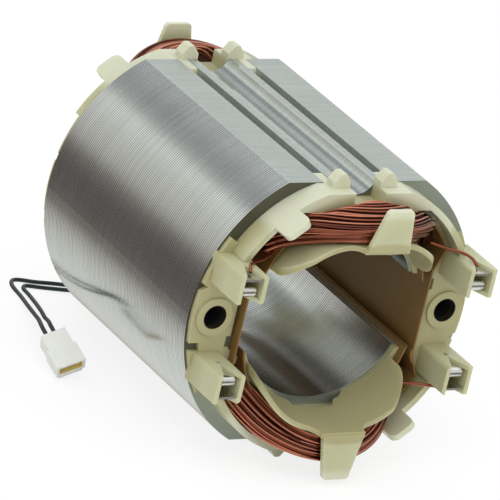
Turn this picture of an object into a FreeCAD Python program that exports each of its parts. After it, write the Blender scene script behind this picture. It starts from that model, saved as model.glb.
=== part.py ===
import FreeCAD, Part

import math
import os

from FreeCAD import Placement, Rotation, Vector

# Wound field of a two-pole universal motor, in millimetres.
# The motor's axis is Y, the terminals face -Y, the upper pole is at +Z,
# and the origin is the middle of the rotor bore.

# Lamination stack
SHEET_THICKNESS = 0.5
SHEET_COUNT = 101
STACK_LENGTH = SHEET_COUNT * SHEET_THICKNESS
STACK_RADIUS = 27.5
FLAT_HEIGHT = STACK_RADIUS - 3.6
BORE_RADIUS = 16.25
POLE_TIP_HEIGHT = 6.9
HORN_BACK_RADIUS = BORE_RADIUS + 0.15
HORN_BACK_CENTRE = 3.1
NECK_HALF_WIDTH = 7.45
SLOT_RADIUS = STACK_RADIUS - 4.3
SLOT_TOP = FLAT_HEIGHT - 3.45
YOKE_WALL_X = BORE_RADIUS + 0.16 * (STACK_RADIUS - BORE_RADIUS)
YOKE_WALL_Z = 8.0
YOKE_SHOULDER_X = YOKE_WALL_X + 1.75
YOKE_SHOULDER_Z = 12.0
SLOT_CORNER_RADIUS = 0.8
SCREW_SPACING = 2 * (STACK_RADIUS - 4.5)
SCREW_HOLE_RADIUS = 2.1
SIGHT_GROOVE_RADIUS = 3.5
SIGHT_GROOVE_DEPTH = 2.35
KEY_GROOVE_X = 6.0
KEY_GROOVE_WIDTH = 1.85
KEY_GROOVE_DEPTH = 2.3

# Fits
MOULDING_CLEARANCE = 0.1
PRESS_GAP = 0.05

# Slot liners
PAPER = 0.3
LINER_OVERHANG = 2.3
LINER_LAP_TOP = -POLE_TIP_HEIGHT
LINER_BUTT = -8.6
LINER_FLAP = 0.6
LINER_SPLIT_X = YOKE_WALL_X - 0.95

# Moulded end frames
PLATE = 0.9
WALL_OUTER_RADIUS = STACK_RADIUS - 2.3
WALL_THICKNESS = 1.15
WALL_HEIGHT = 4.6
WALL_HALF_ANGLE = 62.0
LEDGE_HALF_WIDTH = 3.05
LEDGE_HEIGHT = FLAT_HEIGHT - 2.6
LOBE_RADIUS = STACK_RADIUS - 0.4
LOBE_HALF_ANGLE = 32.0
LOBE_EDGE_X = YOKE_WALL_X + 0.7
LOBE_EDGE_Z = 6.4
LOBE_NOTCH_X = YOKE_WALL_X + 1.55
LOBE_NOTCH_Z = (-5.9, -3.8)
LIP_NOTCH = ((-8.0, 0.8), (-4.7, 1.4), (-4.7, 3.3), (3.3, 3.3), (4.4, 1.6), (5.5, 1.4), (6.6, 0.4))
LIP_NOTCH_RADIUS = BORE_RADIUS + 1.5
BOSS_RADIUS = 3.4
BOSS_HEIGHT = 0.45
GUARD_TAB_ANGLES = (123.0, 134.5)
GUARD_TAB_HEIGHT = 8.9
GUARD_TAB_CORNER = 1.3
KEY_LENGTH = 4.7
KEY_SLANT = 1.4
HOOK_INNER_X = 3.05
HOOK_OUTER_X = 6.3
HOOK_DEPTH = 2.3
HOOK_TIP = FLAT_HEIGHT + 2.45

# Coil flanges: how the radius grows with height at angles from the pole's middle
FLANGE_FLARES = ((0.0, 0.0), (22.0, 0.08), (44.0, 0.12), (66.0, 0.12))
FLANGE_ROOT_RADIUS = BORE_RADIUS + 0.3
FLANGE_THICKNESS = 0.9
FLANGE_HEIGHT = 13.0
FLANGE_SHOULDER = (4.3, 4.8, 6.2)
FLANGE_SHOULDER_HEIGHT = (11.3, 10.4)
FLANGE_LOBE = (11.4, 13.6, 14.4, 14.2)
FLANGE_LOBE_HEIGHT = (9.7, 7.4, 3.0)

# Centre tabs that hold the end turns back
TAB_TIP = STACK_RADIUS - 2.4
TAB_ROOT_HALF_WIDTH = 4.1
TAB_TIP_HALF_WIDTH = 2.45
TAB_CORNER = 0.75
TAB_LEAN_FRONT_UPPER = 1.15
TAB_LEAN_FRONT_LOWER = 0.4
TAB_LEAN_REAR = 0.1
TAB_PROUD = 0.2

# Terminal housings and terminals
HOUSING_CENTRE_X = STACK_RADIUS - 4.75
HOUSING_CENTRE_Z = 9.15
HOUSING_LENGTH = 10.0
HOUSING_WALL = 0.75
POCKET_WIDTH = 3.7
POCKET_FLOOR = 1.5
HOUSING_CORNER = 0.6
MOUTH_NOTCH_LENGTH = 4.2
PROBE_HOLE = 0.9
PROBE_HOLE_DEPTH = 4.9
STRIP = 0.4
BLADE_LENGTH = 8.3
CLIP_WIDTH = 2.4
CLIP_LENGTH = 6.4
CLIP_CURL_RADIUS = 0.95

# Coils
WIRE_DIAMETER = 0.65
COIL_INNER_RADIUS = BORE_RADIUS + 2.35
COIL_OUTER_RADIUS = SLOT_RADIUS - PAPER - 0.1
COIL_BOTTOM = 9.4
TURN_INNER_X = NECK_HALF_WIDTH + PAPER + 0.1
TURN_OUTER_X = YOKE_WALL_X + 0.15
TURN_INNER_REACH = LINER_OVERHANG + 0.1
TURN_OUTER_REACH = 12.2
TURN_INNER_ARC = 12.0
TURN_OUTER_ARC = 20.0
TURN_CORNER = 2.2
END_INNER_RADIUS = FLANGE_ROOT_RADIUS + 0.65
CROWN_RADIUS = SLOT_RADIUS + 0.8
CROWN_RADIUS_FRONT_UPPER = CROWN_RADIUS - 2.1
CROWN_DROP = 1.2
TURN_RIDGES = 4
TURN_RIDGE_DEPTH = 0.3
TURN_RIDGE_WIDTH = 0.35

# Coil tails: places from the middle line of the housing, from the steel, and above the housing
TAIL_RIGHT = ((-7.0, 2.6, 1.8), (-5.3, 3.6, 1.5), (-4.1, 5.0, 1.5), (-2.0, 5.7, 1.15), (-1.1, 6.1, 0.8),
              (-0.4, 7.0, 0.4), (-0.1, 7.8, -0.35))
TAIL_LEFT = ((-7.0, 3.0, 1.0), (-4.8, 4.4, 0.4), (-2.4, 5.4, 0.4), (-1.2, 5.9, 0.4), (-0.4, 7.0, 0.4),
             (-0.1, 7.8, -0.35))

# Temperature sensor, its two leads and their connector
SENSOR_RADIUS = 1.2
SENSOR_TIP = (2.6, 33.4, -24.5)
SENSOR_MOUTH = (-5.4, 33.4, -24.5)
LEAD_DIAMETER = 0.75
LEAD_A = (
    (-5.4, 33.8, -24.5),
    (-7.2, 33.8, -24.5),
    (-8.9, 36.2, -25.0),
    (-10.5, 38.4, -25.75),
    (-13.0, 39.7, -25.95),
    (-16.2, 40.4, -25.95),
    (-18.3, 41.4, -25.95),
    (-19.8, 41.7, -25.95),
    (-20.9, 40.6, -25.95),
    (-21.5, 38.4, -25.95),
    (-21.7, 35.2, -25.95),
    (-22.9, 31.1, -25.4),
    (-24.8, 26.2, -24.2),
    (-27.0, 21.1, -22.7),
    (-29.0, 16.5, -21.3),
    (-30.3, 13.9, -20.6),
    (-30.9, 11.6, -20.7),
    (-30.68, 9.77, -21.46),
)
LEAD_B = (
    (-5.4, 33.0, -24.5),
    (-7.5, 33.0, -24.5),
    (-9.3, 34.5, -25.0),
    (-11.1, 36.3, -25.75),
    (-13.4, 37.4, -25.95),
    (-16.1, 38.2, -25.95),
    (-17.6, 38.8, -25.95),
    (-18.9, 39.2, -25.95),
    (-19.8, 38.0, -25.95),
    (-19.8, 36.1, -25.95),
    (-20.3, 33.2, -25.8),
    (-21.7, 28.9, -25.0),
    (-23.9, 23.7, -23.7),
    (-26.0, 19.6, -22.4),
    (-27.6, 16.6, -21.2),
    (-28.8, 13.8, -20.2),
    (-29.5, 11.55, -20.17),
    (-29.28, 9.71, -20.94),
)
BEND_SHARE = 0.45
CONNECTOR_WIDTH = 4.5
CONNECTOR_SHOULDER = 0.45
CONNECTOR_SHOULDER_START = 3.4
CONNECTOR_LENGTH = 7.4
CONNECTOR_THICKNESS = 3.1
CONNECTOR_WALL = 0.5
CONNECTOR_MOUTH_DEPTH = 3.0
CONNECTOR_PITCH = 1.5
CONTACT_SIZE = 0.9
CONTACT_START = 1.0
SOCKET_SIZE = 0.5

ALONG = Vector(0, 1, 0)
HALF_STACK = STACK_LENGTH / 2
LINER_REACH = HALF_STACK + LINER_OVERHANG
LINER_TIP = POLE_TIP_HEIGHT - LINER_FLAP


def disc(radius, y0, y1, x=0.0, z=0.0):
    """Cylinder along the motor's axis."""
    return Part.makeCylinder(radius, y1 - y0, Vector(x, y0, z), ALONG)


def block(x0, x1, y0, y1, z0, z1):
    """Box between two corners."""
    return Part.makeBox(x1 - x0, y1 - y0, z1 - z0, Vector(x0, y0, z0))


def prism(points, y0, y1):
    """Straight-sided outline in X and Z, carried along the axis."""
    corners = [Vector(x, y0, z) for x, z in points]
    outline = Part.makePolygon(corners + corners[:1])
    return Part.Face(outline).extrude(Vector(0, y1 - y0, 0))


def polar(radius, degrees):
    """Point in the XZ plane at an angle from +X."""
    angle = math.radians(degrees)
    return radius * math.cos(angle), radius * math.sin(angle)


def sector(r0, r1, a0, a1, y0, y1):
    """Piece of a ring between two angles from +X."""
    def point(radius, degrees):
        x, z = polar(radius, degrees)
        return Vector(x, y0, z)
    middle = (a0 + a1) / 2
    outer = Part.Arc(point(r1, a0), point(r1, middle), point(r1, a1)).toShape()
    inner = Part.Arc(point(r0, a1), point(r0, middle), point(r0, a0)).toShape()
    end = Part.LineSegment(point(r1, a1), point(r0, a1)).toShape()
    start = Part.LineSegment(point(r0, a0), point(r1, a0)).toShape()
    face = Part.Face(Part.Wire([outer, end, inner, start]))
    return face.extrude(Vector(0, y1 - y0, 0))


def mirror_x(shape):
    return shape.mirror(Vector(0, 0, 0), Vector(1, 0, 0))


def mirror_y(shape):
    return shape.mirror(Vector(0, 0, 0), Vector(0, 1, 0))


def mirror_z(shape):
    return shape.mirror(Vector(0, 0, 0), Vector(0, 0, 1))


def half_turn(shape):
    """Copy turned by 180 degrees about the motor's axis."""
    turned = shape.copy()
    turned.rotate(Vector(0, 0, 0), ALONG, 180)
    return turned


def round_edges(shape, radius, wanted):
    """Fillet the straight edges whose middle and direction pass a test."""
    chosen = []
    for edge in shape.Edges:
        if len(edge.Vertexes) == 2 and edge.Curve.TypeId == "Part::GeomLine":
            ends = [vertex.Point for vertex in edge.Vertexes]
            if wanted((ends[0] + ends[1]) * 0.5, (ends[1] - ends[0]).normalize()):
                chosen.append(edge)
    return shape.makeFillet(radius, chosen) if chosen else shape


def pole_shoe(inset, tip_height):
    """Body of the upper pole shoe behind the bore, its back moved out by inset."""
    back = disc(HORN_BACK_RADIUS + inset, -STACK_LENGTH, STACK_LENGTH, z=HORN_BACK_CENTRE)
    above = block(-STACK_RADIUS, STACK_RADIUS, -STACK_LENGTH, STACK_LENGTH, tip_height - inset, STACK_RADIUS)
    return back.common(above)


def winding_window(inset, tip_height, y0, y1):
    """Space between the poles on the +X side, every wall moved inward by inset."""
    neck = NECK_HALF_WIDTH + inset
    top = SLOT_TOP - inset
    slope = (YOKE_SHOULDER_X - YOKE_WALL_X) / (YOKE_SHOULDER_Z - YOKE_WALL_Z)
    reach_z = YOKE_SHOULDER_Z + 2.0
    upper = [
        (neck, top),
        (STACK_RADIUS, top),
        (STACK_RADIUS, reach_z),
        (YOKE_SHOULDER_X + slope * (reach_z - YOKE_SHOULDER_Z) - inset, reach_z),
        (YOKE_WALL_X - inset, YOKE_WALL_Z),
    ]
    lower = [(x, -z) for x, z in reversed(upper)]
    space = prism(upper + lower, y0, y1).common(disc(SLOT_RADIUS - inset, y0, y1))
    shoe = pole_shoe(inset, tip_height)
    space = space.cut(shoe).cut(mirror_z(shoe))
    return round_edges(space, max(SLOT_CORNER_RADIUS - inset, 0.05), lambda middle, way:
                       abs(way.y) > 0.99 and abs(middle.x - neck) < 0.01
                       and abs(abs(middle.z) - top) < 0.01)


def lamination_stack():
    """Stamped and interlocked field sheets, with bore, windows, grooves and screw holes."""
    body = disc(STACK_RADIUS, -HALF_STACK, HALF_STACK)
    body = body.common(block(-STACK_RADIUS, STACK_RADIUS, -HALF_STACK, HALF_STACK, -FLAT_HEIGHT, FLAT_HEIGHT))
    window = winding_window(0.0, POLE_TIP_HEIGHT, -STACK_LENGTH, STACK_LENGTH)
    cutters = [disc(BORE_RADIUS, -STACK_LENGTH, STACK_LENGTH), window, mirror_x(window)]
    for side in (-1, 1):
        cutters.append(disc(SCREW_HOLE_RADIUS, -STACK_LENGTH, STACK_LENGTH, x=side * SCREW_SPACING / 2))
        groove_z = side * (FLAT_HEIGHT + SIGHT_GROOVE_RADIUS - SIGHT_GROOVE_DEPTH)
        cutters.append(disc(SIGHT_GROOVE_RADIUS, -STACK_LENGTH, STACK_LENGTH, z=groove_z))
        for place in (-KEY_GROOVE_X, KEY_GROOVE_X):
            cutters.append(key_bar(place, KEY_GROOVE_WIDTH, 0.0, -STACK_LENGTH, STACK_LENGTH, side))
    return body.cut(cutters)


def key_bar(x, width, clearance, y0, y1, side):
    """Bar that fills a key groove of one flat, less a clearance at its floor."""
    floor = FLAT_HEIGHT - KEY_GROOVE_DEPTH + clearance
    top = FLAT_HEIGHT + 1.0 if clearance == 0.0 else FLAT_HEIGHT - clearance
    bar = block(x - width / 2, x + width / 2, y0, y1, floor, top)
    return bar if side > 0 else mirror_z(bar)


def frame_plate():
    """Plate on the end of the steel, with side lobes round the screw holes."""
    plate = disc(WALL_OUTER_RADIUS, 0, PLATE)
    lobe = sector(SLOT_RADIUS - 3.0, LOBE_RADIUS, -LOBE_HALF_ANGLE, LOBE_HALF_ANGLE, 0, PLATE)
    deep_notch = block(LOBE_RADIUS - 2.75, LOBE_RADIUS + 1, -1, PLATE + 1, 4.9, 6.5)
    vee_points = [(LOBE_RADIUS - 1.7, -5.35), (LOBE_RADIUS + 1, -7.0), (LOBE_RADIUS + 1, -3.7)]
    vee_notch = prism(vee_points, -1, PLATE + 1)
    lobe = lobe.cut([deep_notch, vee_notch])
    boss = disc(BOSS_RADIUS, 0, PLATE + BOSS_HEIGHT, x=SCREW_SPACING / 2)
    plate = plate.fuse([lobe, half_turn(lobe), boss, half_turn(boss)])
    limit = FLAT_HEIGHT - MOULDING_CLEARANCE
    return plate.common(block(-STACK_RADIUS, STACK_RADIUS, -1, WALL_HEIGHT, -limit, limit))


def frame_wall():
    """Outer wall of the coil channel over the upper pole."""
    limit = FLAT_HEIGHT - MOULDING_CLEARANCE
    channel = SLOT_TOP + PRESS_GAP
    first = 90 - WALL_HALF_ANGLE
    wall = sector(SLOT_TOP - 6.0, WALL_OUTER_RADIUS, first, 180 - first, 0, WALL_HEIGHT)
    wall = wall.common(block(-STACK_RADIUS, STACK_RADIUS, 0, WALL_HEIGHT, 0, limit))
    trough = disc(WALL_OUTER_RADIUS - WALL_THICKNESS, PLATE, WALL_HEIGHT + 1)
    trough = trough.common(block(-STACK_RADIUS, STACK_RADIUS, PLATE, WALL_HEIGHT + 1, 0, channel))
    root = disc(SLOT_RADIUS - 2.0, -1, WALL_HEIGHT + 1).common(
        block(-STACK_RADIUS, STACK_RADIUS, -1, WALL_HEIGHT + 1, 0, channel - 1.0))
    return wall.cut([trough, root])


def guard_tab():
    """Tall tab on the outer wall that keeps wires off the housing."""
    first, last = GUARD_TAB_ANGLES
    tab = sector(WALL_OUTER_RADIUS - WALL_THICKNESS, WALL_OUTER_RADIUS, first, last, 0, GUARD_TAB_HEIGHT)
    return round_edges(tab, GUARD_TAB_CORNER, lambda middle, way:
                       middle.y > GUARD_TAB_HEIGHT - 0.01 and abs(way.y) < 0.01)


def retaining_hook(x_side):
    """Key that fills a groove end, and the arrow-topped head in front of it."""
    key = key_bar(KEY_GROOVE_X, KEY_GROOVE_WIDTH - 2 * PRESS_GAP, PRESS_GAP, -KEY_LENGTH, WALL_HEIGHT / 2, 1)
    floor = FLAT_HEIGHT - KEY_GROOVE_DEPTH
    slant = prism_yz([(-KEY_LENGTH - 1, FLAT_HEIGHT + 1), (-KEY_LENGTH + KEY_SLANT, FLAT_HEIGHT + 1),
                      (-KEY_LENGTH, floor), (-KEY_LENGTH - 1, floor)], HOOK_INNER_X, HOOK_OUTER_X + 2.0)
    middle = (HOOK_INNER_X + HOOK_OUTER_X) / 2
    head = prism([
        (HOOK_INNER_X, SLOT_TOP + PRESS_GAP),
        (HOOK_OUTER_X, SLOT_TOP + PRESS_GAP),
        (HOOK_OUTER_X, HOOK_TIP - 1.5),
        (middle + 0.5, HOOK_TIP),
        (middle - 0.5, HOOK_TIP),
        (HOOK_INNER_X, HOOK_TIP - 1.5),
    ], 0, HOOK_DEPTH)
    hook = key.cut(slant).fuse(head)
    return hook if x_side > 0 else mirror_x(hook)


def prism_xy(points, z0, z1):
    """Straight-sided outline in X and Y, carried upward."""
    corners = [Vector(x, y, z0) for x, y in points]
    outline = Part.makePolygon(corners + corners[:1])
    return Part.Face(outline).extrude(Vector(0, 0, z1 - z0))


def prism_yz(points, x0, x1):
    """Straight-sided outline in Y and Z, carried along X."""
    corners = [Vector(x0, y, z) for y, z in points]
    outline = Part.makePolygon(corners + corners[:1])
    return Part.Face(outline).extrude(Vector(x1 - x0, 0, 0))


def flare(inner, outer):
    """Flared sector lofted through radial sections, between two offsets from the flange's inner face."""
    stations = [(-angle, slope) for angle, slope in reversed(FLANGE_FLARES[1:])] + list(FLANGE_FLARES)
    top = FLANGE_HEIGHT + 1.0
    wires = []
    for angle, slope in stations:
        root = FLANGE_ROOT_RADIUS
        corners = []
        for radius, y in ((root + inner, 0.0), (root + inner + slope * top, top),
                          (root + outer + slope * top, top), (root + outer, 0.0)):
            x, z = polar(radius, 90 - angle)
            corners.append(Vector(x, y, z))
        wires.append(Part.makePolygon(corners + corners[:1]))
    return Part.makeLoft(wires, True, False)


def coil_flange():
    """Inner flange of the coil former, high over the pole's middle with a lobe at each side."""
    shoulder = [Vector(x, y, 0) for x, y in zip(FLANGE_SHOULDER, (FLANGE_HEIGHT,) + FLANGE_SHOULDER_HEIGHT)]
    lobe = [Vector(x, y, 0) for x, y in zip(FLANGE_LOBE, FLANGE_LOBE_HEIGHT + (0.0,))]
    rim = [
        Part.LineSegment(Vector(0, 0, 0), Vector(0, FLANGE_HEIGHT, 0)).toShape(),
        Part.LineSegment(Vector(0, FLANGE_HEIGHT, 0), shoulder[0]).toShape(),
        Part.Arc(*shoulder).toShape(),
        Part.LineSegment(shoulder[2], lobe[0]).toShape(),
        Part.Arc(*lobe[:3]).toShape(),
        Part.LineSegment(lobe[2], lobe[3]).toShape(),
        Part.LineSegment(lobe[3], Vector(0, 0, 0)).toShape(),
    ]
    half = Part.Face(Part.Wire(rim)).extrude(Vector(0, 0, STACK_RADIUS))
    outline = half.fuse(mirror_x(half)).removeSplitter()
    return flare(0.0, FLANGE_THICKNESS).common(outline)


def centre_tab(lean):
    """Tapered tab that stands up from the middle of a flange and leans outward."""
    root = FLANGE_ROOT_RADIUS + FLANGE_THICKNESS / 2
    front = FLANGE_HEIGHT + TAB_PROUD
    tab = prism([(-TAB_ROOT_HALF_WIDTH, root), (TAB_ROOT_HALF_WIDTH, root),
                 (TAB_TIP_HALF_WIDTH, TAB_TIP), (-TAB_TIP_HALF_WIDTH, TAB_TIP)],
                front - FLANGE_THICKNESS, front)
    tab = round_edges(tab, TAB_CORNER, lambda middle, way:
                      abs(way.y) > 0.99 and middle.z > TAB_TIP - 0.01)
    angle = math.degrees(math.atan2(lean, TAB_TIP - root))
    tab.rotate(Vector(0, front, root), Vector(1, 0, 0), -angle)
    return tab.cut(flare(-FLANGE_THICKNESS, 0.0))


def pole_former(lean):
    """Everything a frame carries over the upper pole."""
    parts = [frame_wall(), guard_tab(), retaining_hook(-1), retaining_hook(1), coil_flange(), centre_tab(lean)]
    return parts[0].fuse(parts[1:])


def end_frame(upper_lean, lower_lean):
    """One moulding for the +Y end: plate, two pole formers, openings for bore, slots and screws."""
    frame = frame_plate().fuse([pole_former(upper_lean), half_turn(pole_former(lower_lean))])
    window = winding_window(-MOULDING_CLEARANCE, POLE_TIP_HEIGHT, -1, LINER_OVERHANG + MOULDING_CLEARANCE)
    edge = block(0, LOBE_EDGE_X, -1, PLATE + 1, -LOBE_EDGE_Z, LOBE_EDGE_Z)
    notch = block(-LOBE_NOTCH_X, 0, -1, PLATE + 1, *LOBE_NOTCH_Z)
    lip_outline = [(LIP_NOTCH[0][0], -1), *LIP_NOTCH, (LIP_NOTCH[-1][0], -1)]
    lip = prism_xy(lip_outline, -LIP_NOTCH_RADIUS, 0)
    ledge = block(-LEDGE_HALF_WIDTH, LEDGE_HALF_WIDTH, -1, WALL_HEIGHT + 1, LEDGE_HEIGHT, STACK_RADIUS)
    openings = [
        window,
        mirror_x(window),
        edge,
        mirror_x(edge),
        notch,
        half_turn(notch),
        lip,
        ledge,
        half_turn(ledge),
        disc(FLANGE_ROOT_RADIUS, -1, PLATE + 0.01),
        disc(SCREW_HOLE_RADIUS, -1, HOOK_DEPTH, x=SCREW_SPACING / 2),
        disc(SCREW_HOLE_RADIUS, -1, HOOK_DEPTH, x=-SCREW_SPACING / 2),
    ]
    return frame.cut(openings).removeSplitter()


def terminal_housing():
    """Open-fronted box with vee-notched walls on the upper right of the front frame, built toward +Y."""
    half = POCKET_WIDTH / 2
    outer = half + HOUSING_WALL
    box = block(HOUSING_CENTRE_X - outer, HOUSING_CENTRE_X + outer, 0, HOUSING_LENGTH,
                HOUSING_CENTRE_Z - outer, HOUSING_CENTRE_Z + outer)
    box = round_edges(box, HOUSING_CORNER, lambda middle, way:
                      abs(way.y) > 0.99 and middle.x < HOUSING_CENTRE_X)
    pocket = block(HOUSING_CENTRE_X - half, HOUSING_CENTRE_X + half, POCKET_FLOOR, HOUSING_LENGTH + 1,
                   HOUSING_CENTRE_Z - half, HOUSING_CENTRE_Z + half)
    notch = prism_xy([(HOUSING_CENTRE_X, HOUSING_LENGTH - MOUTH_NOTCH_LENGTH),
                      (HOUSING_CENTRE_X + half, HOUSING_LENGTH), (HOUSING_CENTRE_X - half, HOUSING_LENGTH)],
                     HOUSING_CENTRE_Z - outer, HOUSING_CENTRE_Z + outer)
    probe = block(HOUSING_CENTRE_X - PROBE_HOLE / 2, HOUSING_CENTRE_X + PROBE_HOLE / 2,
                  PROBE_HOLE_DEPTH - PROBE_HOLE / 2, PROBE_HOLE_DEPTH + PROBE_HOLE / 2,
                  HOUSING_CENTRE_Z - outer - 1, HOUSING_CENTRE_Z)
    return box.cut([pocket, notch, probe])


def four_ways(shape):
    """Copies for the four quarters: upper right, upper left, lower right, lower left."""
    return {
        "upper_right": shape,
        "upper_left": mirror_x(shape),
        "lower_right": mirror_z(shape),
        "lower_left": mirror_z(mirror_x(shape)),
    }


def at_front(shape):
    """Move a shape built toward +Y from the steel to the front end."""
    moved = mirror_y(shape)
    moved.translate(Vector(0, -HALF_STACK, 0))
    return moved


def at_rear(shape):
    moved = shape.copy()
    moved.translate(Vector(0, HALF_STACK, 0))
    return moved


def front_frame():
    """Front end frame with its four terminal housings."""
    frame = end_frame(TAB_LEAN_FRONT_UPPER, TAB_LEAN_FRONT_LOWER)
    housings = list(four_ways(terminal_housing()).values())
    return at_front(frame.fuse(housings).removeSplitter())


def upper_liner(window_outer, window_middle):
    """Folded insulating paper along the walls of the upper right slot, down the yoke to the lap."""
    paper = window_outer.cut(window_middle)
    return paper.cut([
        liner_block(0, LINER_SPLIT_X, -STACK_RADIUS, LINER_TIP - PAPER),
        liner_block(0, HORN_BACK_RADIUS - 0.1, -STACK_RADIUS, LINER_TIP),
        liner_block(LINER_SPLIT_X, STACK_RADIUS, -STACK_RADIUS, LINER_BUTT),
    ])


def lower_liner(window_outer, window_middle, window_inner):
    """Paper of the lower right slot, lapped over the end of the upper one."""
    lower = window_outer.cut(window_middle).cut([
        liner_block(0, LINER_SPLIT_X, PAPER - LINER_TIP, STACK_RADIUS),
        liner_block(0, HORN_BACK_RADIUS - 0.1, -LINER_TIP, STACK_RADIUS),
        liner_block(LINER_SPLIT_X, STACK_RADIUS, LINER_BUTT - PRESS_GAP, STACK_RADIUS),
    ])
    lap = window_middle.cut(window_inner)
    lap = lap.common(liner_block(LINER_SPLIT_X, STACK_RADIUS, PRESS_GAP - COIL_BOTTOM, LINER_LAP_TOP))
    return lower.fuse(lap).removeSplitter()


def liner_block(x0, x1, z0, z1):
    """Block that takes in the whole length of a paper."""
    return block(x0, x1, -LINER_REACH - 1, LINER_REACH + 1, z0, z1)


def liners():
    """The four slot papers."""
    windows = [winding_window(PAPER * step, LINER_TIP, -LINER_REACH, LINER_REACH) for step in range(3)]
    upper = upper_liner(*windows[:2])
    lower = lower_liner(*windows)
    return {
        "slot_liner_upper_right": upper,
        "slot_liner_upper_left": mirror_x(upper),
        "slot_liner_lower_right": lower,
        "slot_liner_lower_left": mirror_x(lower),
    }


def turn_block(grow):
    """Upright block whose outline is the turn a share of the way from the inner to the outer one."""
    half_x = TURN_INNER_X + grow * (TURN_OUTER_X - TURN_INNER_X)
    reach = HALF_STACK + TURN_INNER_REACH + grow * (TURN_OUTER_REACH - TURN_INNER_REACH)
    radius = TURN_INNER_ARC + grow * (TURN_OUTER_ARC - TURN_INNER_ARC)
    side = reach - radius + math.sqrt(radius ** 2 - half_x ** 2)
    right = Part.LineSegment(Vector(half_x, -side, 0), Vector(half_x, side, 0)).toShape()
    rear = Part.Arc(Vector(half_x, side, 0), Vector(0, reach, 0), Vector(-half_x, side, 0)).toShape()
    left = Part.LineSegment(Vector(-half_x, side, 0), Vector(-half_x, -side, 0)).toShape()
    front = Part.Arc(Vector(-half_x, -side, 0), Vector(0, -reach, 0), Vector(half_x, -side, 0)).toShape()
    solid = Part.Face(Part.Wire([right, rear, left, front])).extrude(Vector(0, 0, STACK_RADIUS))
    return round_edges(solid, TURN_CORNER, lambda middle, way: abs(way.z) > 0.99)


def coil_shell(front_crown, rear_crown, skin):
    """Body of revolution between the coil's inner and outer radius, or its outer skin alone."""
    bend = HALF_STACK + TURN_INNER_REACH
    crest = HALF_STACK + WALL_HEIGHT + 2.0
    end = HALF_STACK + TURN_OUTER_REACH + 0.5
    outside = [
        (-end, front_crown - CROWN_DROP), (-crest, front_crown), (-HALF_STACK, COIL_OUTER_RADIUS),
        (HALF_STACK, COIL_OUTER_RADIUS), (crest, rear_crown), (end, rear_crown - CROWN_DROP),
    ]
    if skin:
        inside = [(y, r - TURN_RIDGE_DEPTH) for y, r in reversed(outside)]
        outside = [(y, r + 1.0) for y, r in outside]
    else:
        inside = [
            (end, END_INNER_RADIUS), (bend, END_INNER_RADIUS), (HALF_STACK, COIL_INNER_RADIUS),
            (-HALF_STACK, COIL_INNER_RADIUS), (-bend, END_INNER_RADIUS), (-end, END_INNER_RADIUS),
        ]
    profile = [Vector(r, y, 0) for y, r in outside + inside]
    face = Part.Face(Part.makePolygon(profile + profile[:1]))
    return face.revolve(Vector(0, 0, 0), ALONG, 360)


def coil_limits():
    """What the upper coil may not enter: the papered slot walls, the channels' tops and the flares."""
    gap = PAPER + PRESS_GAP
    window = winding_window(gap, LINER_TIP, -STACK_LENGTH, STACK_LENGTH)
    walls = block(-STACK_RADIUS, STACK_RADIUS, -LINER_REACH, LINER_REACH, COIL_BOTTOM - 1.0, STACK_RADIUS)
    channel = HALF_STACK + WALL_HEIGHT
    top = block(-STACK_RADIUS, STACK_RADIUS, -channel, channel, SLOT_TOP - gap, STACK_RADIUS)
    inside = flare(-FLANGE_ROOT_RADIUS / 2, FLANGE_THICKNESS + PRESS_GAP)
    return [walls.cut([window, mirror_x(window)]), top, at_front(inside), at_rear(inside)]


def wound_coil(front_crown, rear_crown, blockers):
    """Saddle coil round the upper pole, its outside grooved between the turns, with its two tails."""
    bundle = coil_shell(front_crown, rear_crown, False).common(turn_block(1.0).cut(turn_block(0.0)))
    reach = (-STACK_RADIUS, STACK_RADIUS, -STACK_LENGTH, STACK_LENGTH)
    bundle = bundle.common(block(*reach, COIL_BOTTOM, STACK_RADIUS))
    skin = coil_shell(front_crown, rear_crown, True)
    span = TURN_OUTER_X - TURN_INNER_X
    grooves = []
    for number in range(1, TURN_RIDGES + 1):
        share = number / (TURN_RIDGES + 1)
        groove = turn_block(share + TURN_RIDGE_WIDTH / span).cut(turn_block(share))
        grooves.append(groove.common(skin))
    bundle = bundle.cut(coil_limits() + blockers).cut(grooves)
    return bundle.fuse([magnet_tail(-1, TAIL_LEFT), magnet_tail(1, TAIL_RIGHT)])


def magnet_tail(side, places):
    """End of the coil's wire, led over its terminal housing and down through the notch to the blade."""
    top = HOUSING_CENTRE_Z + POCKET_WIDTH / 2 + HOUSING_WALL
    route = [Vector(side * (HOUSING_CENTRE_X + x), -HALF_STACK - y, top + z) for x, y, z in places]
    return round_bar(route, WIRE_DIAMETER / 2)


def round_bar(route, radius):
    """Wire of straight pieces joined by balls."""
    pieces = []
    for start, end in zip(route, route[1:]):
        pieces.append(Part.makeCylinder(radius, (end - start).Length, start, end - start))
    for corner in route[1:-1]:
        pieces.append(Part.makeSphere(radius, corner))
    return pieces[0].fuse(pieces[1:])


def terminal_blade():
    """Flat contact on the outer wall of a pocket, with a foot across its floor."""
    half = POCKET_WIDTH / 2
    outer = HOUSING_CENTRE_Z + half
    blade = block(HOUSING_CENTRE_X - half, HOUSING_CENTRE_X + half, POCKET_FLOOR, POCKET_FLOOR + BLADE_LENGTH,
                  outer - STRIP, outer)
    blade = round_edges(blade, STRIP, lambda middle, way:
                        abs(way.z) > 0.99 and middle.y > POCKET_FLOOR + 1)
    foot = block(HOUSING_CENTRE_X - half, HOUSING_CENTRE_X + half, POCKET_FLOOR, POCKET_FLOOR + STRIP,
                 HOUSING_CENTRE_Z - half, outer - STRIP)
    return blade.fuse(foot).removeSplitter()


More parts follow.
